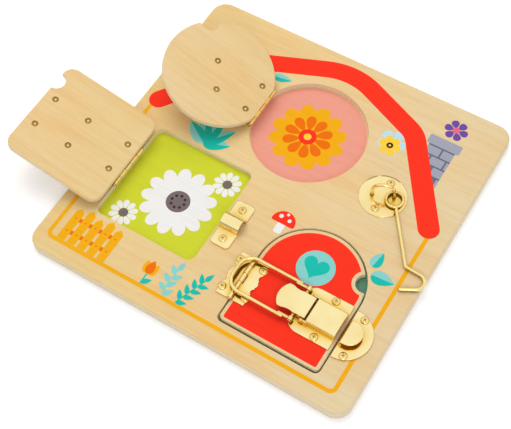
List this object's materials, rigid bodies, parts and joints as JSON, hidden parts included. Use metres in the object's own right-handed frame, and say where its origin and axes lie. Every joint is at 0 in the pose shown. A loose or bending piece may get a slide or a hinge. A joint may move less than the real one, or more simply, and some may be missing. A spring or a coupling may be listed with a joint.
{
  "type": "wooden busy board",
  "caption": "Square two-layer plywood latch board with a square, a round and an arched door on butterfly hinges, a barrel bolt, a hook and staple and a toggle latch.",
  "frame": {"origin": "middle of the board's underside, the face it lies on", "axes": "+Z out of the board's front, +Y towards the board's top edge, +X to its right, with the doors' hinge lines along Y"},
  "size_m": [0.3595, 0.3, 0.0509],
  "materials": {
    "board_plywood": "satin",
    "door_plywood": "satin",
    "sheet_brass": "polished",
    "wire_brass": "polished",
    "turned_brass": "polished",
    "fastener_brass": "polished",
    "printed_ink": "matte"
  },
  "bodies": {
    "root": {"front_panel": "board_plywood", "back_panel": "board_plywood", "square_hinge_board_leaf": "sheet_brass", "round_hinge_board_leaf": "sheet_brass", "barn_hinge_board_leaf": "sheet_brass", "square_hinge_pin": "sheet_brass", "round_hinge_pin": "sheet_brass", "barn_hinge_pin": "sheet_brass", "board_hinge_screws": "fastener_brass", "keeper_strap": "sheet_brass", "keeper_screws": "fastener_brass", "hook_rosette": "sheet_brass", "hook_staple": "wire_brass", "hook_rosette_screws": "fastener_brass", "catch_plate": "sheet_brass", "catch_screws": "fastener_brass"},
    "square_door_body": {"square_door": "door_plywood", "square_hinge_door_leaf": "sheet_brass", "square_hinge_rivets": "fastener_brass", "bolt_casing": "sheet_brass", "bolt_casing_rivets": "fastener_brass"},
    "bolt_body": {"bolt_rod": "turned_brass", "bolt_knob": "turned_brass"},
    "round_door_body": {"round_door": "door_plywood", "round_hinge_door_leaf": "sheet_brass", "round_hinge_rivets": "fastener_brass", "round_rosette": "sheet_brass", "round_staple": "wire_brass", "round_rosette_rivets": "fastener_brass"},
    "barn_door_body": {"barn_door": "door_plywood", "barn_hinge_door_leaf": "sheet_brass", "barn_hinge_rivets": "fastener_brass", "latch_base": "sheet_brass", "latch_base_rivets": "fastener_brass", "lever_pin": "fastener_brass"},
    "lever_body": {"latch_lever": "sheet_brass"},
    "bail_pin_body": {"bail_pin": "fastener_brass"},
    "bail_body": {"latch_bail": "wire_brass"},
    "hook_body": {"hook": "wire_brass"}
  },
  "joints": [
    {"name": "square_door_hinge", "type": "hinge", "parent": "root", "child": "square_door_body", "pos_m": [-0.1169, -0.048, 0.011], "axis": [0, 1, 0], "range_deg": [0, 166.2]},
    {"name": "bolt_slide", "type": "slide", "parent": "square_door_body", "child": "bolt_body", "axis": [-0.9711, 0, 0.2385], "range_m": [0, 0.021]},
    {"name": "round_door_hinge", "type": "hinge", "parent": "root", "child": "round_door_body", "pos_m": [-0.0504, 0.0615, 0.011], "axis": [0, 1, 0], "range_deg": [0, 160]},
    {"name": "barn_door_hinge", "type": "hinge", "parent": "root", "child": "barn_door_body", "pos_m": [0.0233, -0.088, 0.011], "axis": [0, 1, 0], "range_deg": [-150, 0]},
    {"name": "lever_lift", "type": "hinge", "parent": "barn_door_body", "child": "lever_body", "pos_m": [0.082, -0.0855, 0.0128], "axis": [0, -1, 0], "range_deg": [-52, 0]},
    {"name": "bail_pin_turn", "type": "hinge", "parent": "lever_body", "child": "bail_pin_body", "pos_m": [0.0745, -0.0855, 0.0136], "axis": [0, 1, 0], "range_deg": [0, 135]},
    {"name": "bail_throw", "type": "hinge", "parent": "bail_pin_body", "child": "bail_body", "pos_m": [0.0745, -0.0855, 0.0136], "axis": [0, 1, 0], "range_deg": [-0.2, 178.3]},
    {"name": "hook_swing", "type": "hinge", "parent": "root", "child": "hook_body", "pos_m": [0.09165, 0.03945, 0.012], "axis": [0, 0, 1], "range_deg": [-47, 129]}
  ],
  "couplings": [
    {"joint": "bail_pin_turn", "follows": "barn_door_hinge", "ratio": -0.9}
  ]
}
